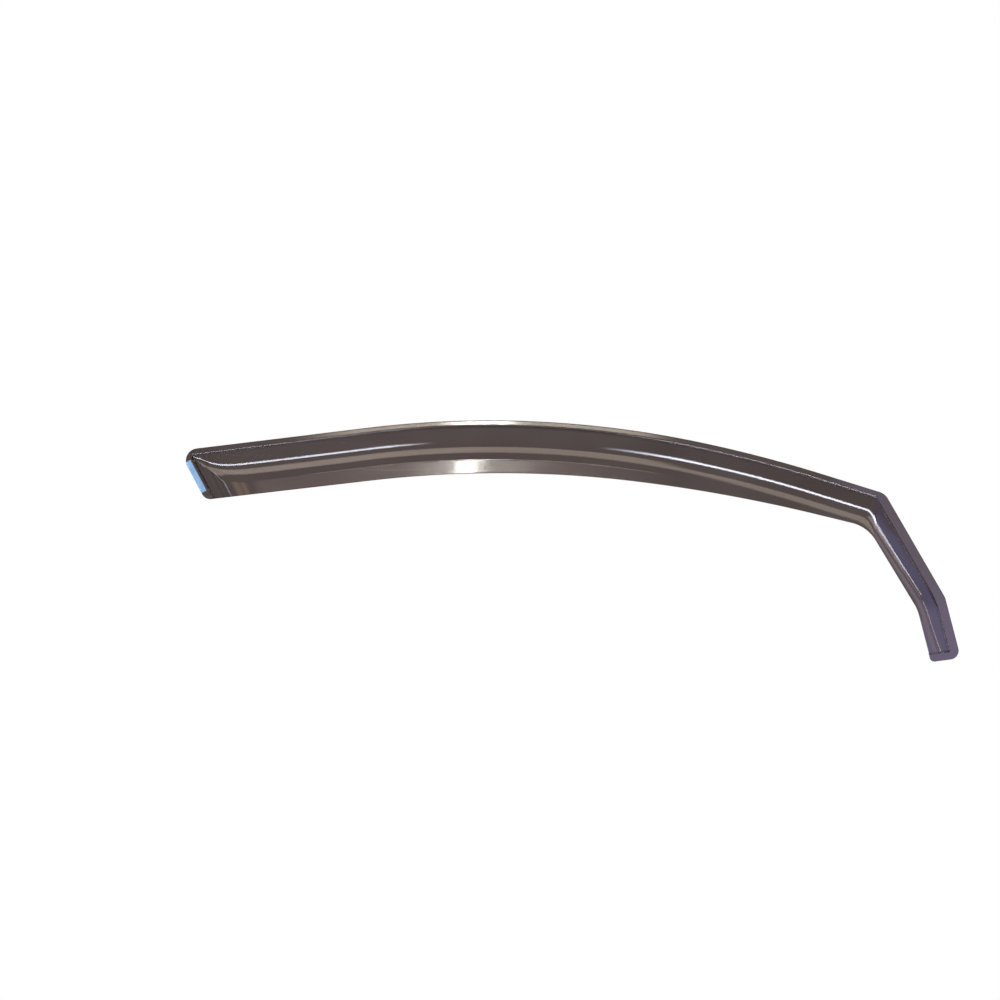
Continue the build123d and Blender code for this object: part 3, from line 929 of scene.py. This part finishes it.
# %% Camera
# millimetres of the part to a pixel of the picture, and the picture's centre in pixels from the origin
pixel, page_centre = 1.06, (10, -79.6)
camera_away, far_clip, sensor = 20.0, 60, 36
camera = bpy.data.objects.new("camera", bpy.data.cameras.new("camera"))
bpy.context.scene.collection.objects.link(camera)
camera.data.sensor_width = sensor
camera.data.lens = sensor * camera_away / pixel
camera.location = (page_centre[0] * pixel * millimetre, -camera_away, page_centre[1] * pixel * millimetre)
camera.rotation_euler = (math.radians(90), 0, 0)
camera.data.clip_end = far_clip
bpy.context.scene.camera = camera
print("camera", camera_away, "m away, with a lens of", round(camera.data.lens), "mm")

# %% Floor
floor_side, floor_front, floor_back, floor_level = 3, -4, 2, -0.75
floor_mesh = bpy.data.meshes.new("floor")
floor_mesh.from_pydata([(-floor_side, floor_front, floor_level), (floor_side, floor_front, floor_level),
                        (floor_side, floor_back, floor_level), (-floor_side, floor_back, floor_level)],
                       [], [(0, 1, 2, 3)])
floor = bpy.data.objects.new("floor", floor_mesh)
bpy.context.scene.collection.objects.link(floor)
pale, nodes, links, shader = new_material("pale_floor")
shader.inputs["Base Color"].default_value = (0.82, 0.82, 0.82, 1)
shader.inputs["Roughness"].default_value = 0.9
floor_mesh.materials.append(pale)
floor.visible_glossy = False
print("floor at", floor_level, "m")

# %% [markdown]
# The room is a list of panels. A panel is a colour, the softness of its edges, and limits of the direction in
# which the sheet mirrors the eye's ray: X to the right, Y away from the camera and Z up, so Y of -1 looks
# straight back at the camera. A negative colour is a dark cloth that takes light out of the room. Area lamps
# would light the studio too, but a panel puts a mirrored band on the sheet and leaves the rest of it alone.

# %% Panels of the mirrored room
world = bpy.data.worlds.new("studio")
bpy.context.scene.world = world
world.use_nodes = True
nodes, links = world.node_tree.nodes, world.node_tree.links
look = nodes.new("ShaderNodeSeparateXYZ")
links.new(nodes.new("ShaderNodeTexCoord").outputs["Generated"], look.inputs[0])


def between(source, low, high, soft):
    """1 where a value lies between two limits, with soft ends."""
    ends = []
    for limit, sign in ((low, 1), (high, -1)):
        made = nodes.new("ShaderNodeMapRange")
        made.interpolation_type = "SMOOTHSTEP"
        made.inputs["From Min"].default_value = limit - sign * soft
        made.inputs["From Max"].default_value = limit + sign * soft
        links.new(source, made.inputs["Value"])
        ends.append(made.outputs[0])
    return shader_math(nodes, links, "MULTIPLY", *ends)


def with_panel(room, colour, soft, **limits):
    """The room with a soft panel added, in limits of the mirrored direction's x, y and z."""
    share = 1.0
    for axis, (low, high) in limits.items():
        share = shader_math(nodes, links, "MULTIPLY", between(look.outputs[axis], low, high, soft), share)
    made = nodes.new("ShaderNodeVectorMath")
    made.operation = "MULTIPLY_ADD"
    for socket, given in zip(made.inputs, (share, colour, room)):
        give(links, socket, given)
    return made.outputs[0]


print("world nodes before the panels:", len(nodes))

# %% Front wall and windows
behind_camera = (-2, -0.5)
front_panels = [
    # a warm wall in two parts
    ((3.4, 2.8, 2.3), 0.03, dict(X=(-2, 0.24), Y=(-0.87, -0.60), Z=(0.1, 2))),
    ((3.2, 2.6, 2.2), 0.03, dict(X=(0.24, 0.55), Y=(-0.93, -0.74), Z=(0.1, 2))),
    # two high windows
    ((16, 16.5, 19), 0.03, dict(X=(-0.2, -0.05), Y=(-0.27, -0.14), Z=(0.4, 2))),
    ((22, 22.5, 26), 0.05, dict(X=(0.22, 0.82), Y=(-0.28, -0.14), Z=(0.4, 2))),
    # two dark cloths for the corner
    ((-0.28, -0.25, -0.24), 0.05, dict(X=(0.2, 0.84), Y=(-0.14, 0.35), Z=(0.45, 2))),
    ((-0.22, -0.12, -0.1), 0.03, dict(X=(0.62, 0.84), Y=(-0.05, 0.35), Z=(0.45, 2))),
]
lamp_panels = [
    # a small bright lamp beside the camera and its glow, as the flange mirrors them
    ((8, 7.0, 5.7), 0.012, dict(X=(0.02, 0.13), Y=behind_camera, Z=(-0.006, 0.018))),
    ((60, 58, 54), 0.006, dict(X=(0.063, 0.083), Y=behind_camera, Z=(-0.002, 0.014))),
    # the same lamp and glow, lower down, as the skirt mirrors them
    ((1.0, 0.7, 0.68), 0.025, dict(X=(-0.03, 0.115), Y=behind_camera, Z=(-0.2, -0.03))),
    ((2.0, 1.8, 1.6), 0.022, dict(X=(0.05, 0.092), Y=behind_camera, Z=(-0.2, -0.04))),
    ((4.6, 4.5, 4.2), 0.012, dict(X=(0.058, 0.085), Y=behind_camera, Z=(-0.2, -0.04))),
    ((60, 58, 54), 0.001, dict(X=(0.0688, 0.0729), Y=behind_camera, Z=(-0.2, -0.04))),
]
print("panels in front:", len(front_panels) + len(lamp_panels))

# %% Sides that the leg and the rear end turn to
leg_panels = [
    # bluish light for the leg's walls, and a dark cloth
    ((0.25, 0.15, 0.35), 0.08, dict(X=(0.55, 2))),
    ((0.48, 0.44, 0.78), 0.08, dict(X=(0.55, 2), Z=(-2, 0.22))),
    ((0.1, 0.2, 0.9), 0.04, dict(X=(0.85, 2), Y=(-0.6, -0.03), Z=(-0.1, 0.25))),
    ((-0.22, -0.02, 0.75), 0.015, dict(X=(0.84, 2), Y=(-0.03, 0.4), Z=(-0.1, 0.42))),
    ((-0.5, -0.38, -0.3), 0.012, dict(X=(0.84, 2), Y=(0.0, 0.4), Z=(0.42, 0.6))),
    # bluish light for its flange and its toe
    ((0.9, 0.75, 1.5), 0.006, dict(X=(0.19, 0.5), Y=behind_camera, Z=(-0.5, 0.02))),
    ((0.7, 0.65, 1.6), 0.06, dict(X=(0.19, 0.5), Y=behind_camera, Z=(-0.5, -0.12))),
    ((0.6, 0.6, 2.0), 0.03, dict(X=(0.5, 2), Y=behind_camera, Z=(-0.5, -0.11))),
    # its light band, in two parts
    ((13, 13.5, 16), 0.008, dict(X=(0.81, 2), Y=(-0.24, 0.03), Z=(0.398, 0.6))),
    ((10, 10.3, 12), 0.02, dict(X=(0.81, 0.95), Y=(-0.30, -0.03), Z=(0.352, 0.6))),
    # its warm band, a warm patch and a thin line
    ((3.4, 2.8, 2.3), 0.03, dict(X=(0.55, 2), Y=(-0.62, -0.26), Z=(0.29, 0.6))),
    ((1.2, 1.0, 1.0), 0.04, dict(X=(0.6, 0.88), Y=(-0.75, -0.5), Z=(-0.12, 0.2))),
    ((6.0, 5.0, 3.8), 0.012, dict(X=(0.9, 2), Y=(-0.275, -0.215), Z=(0.0, 0.25))),
]
rear_panels = [
    # two brown patches low on the left, and a pale strip for the hipped end
    ((1.7, 1.05, 0.5), 0.05, dict(X=(-0.30, -0.16), Y=behind_camera, Z=(-0.36, -0.12))),
    ((1.7, 1.1, 0.6), 0.02, dict(X=(-0.14, -0.09), Y=behind_camera, Z=(-0.3, -0.1))),
    ((4.0, 4.0, 5.2), 0.015, dict(X=(-2, -0.45), Y=(-0.78, -0.74), Z=(-0.5, 0.2))),
]
room = (0.30, 0.27, 0.26)
for colour, soft, limits in front_panels + lamp_panels + leg_panels + rear_panels:
    room = with_panel(room, colour, soft, **limits)
print("panels at the sides:", len(leg_panels) + len(rear_panels))

# %% What each kind of ray sees
path = nodes.new("ShaderNodeLightPath").outputs
plain, white = (0.75, 0.75, 0.75, 1), (1, 1, 1, 1)
straight = shader_math(nodes, links, "MAXIMUM", path["Is Camera Ray"], path["Is Transmission Ray"])
mirrored = blended(nodes, links, path["Is Glossy Ray"], plain, room)
links.new(blended(nodes, links, straight, mirrored, white), nodes["Background"].inputs["Color"])
print("studio world:", len(nodes), "nodes")

# %% Lamp
def softbox(name, place_at, aim, width, height, power):
    """A rectangular lamp that faces a point."""
    data = bpy.data.lights.new(name, "AREA")
    data.shape = "RECTANGLE"
    data.size, data.size_y = width, height
    data.energy = power
    made = bpy.data.objects.new(name, data)
    made.location = place_at
    made.rotation_euler = (Vector(aim) - Vector(place_at)).to_track_quat("-Z", "Y").to_euler()
    bpy.context.scene.collection.objects.link(made)
    return made


# it lights the floor and the strip, and the sheet mirrors only the panels
middle = (0.08, 0, -0.08)
key = softbox("key", place_at=(-0.6, -2.6, 2.2), aim=middle, width=1.6, height=1.0, power=40)
key.visible_glossy = False
print("lamp:", key.name, key.data.energy, "W")

# %% [markdown]
# ## Finish
# The last step sets the view transform to Standard.

# %% Finish
bpy.context.scene.view_settings.view_transform = "Standard"
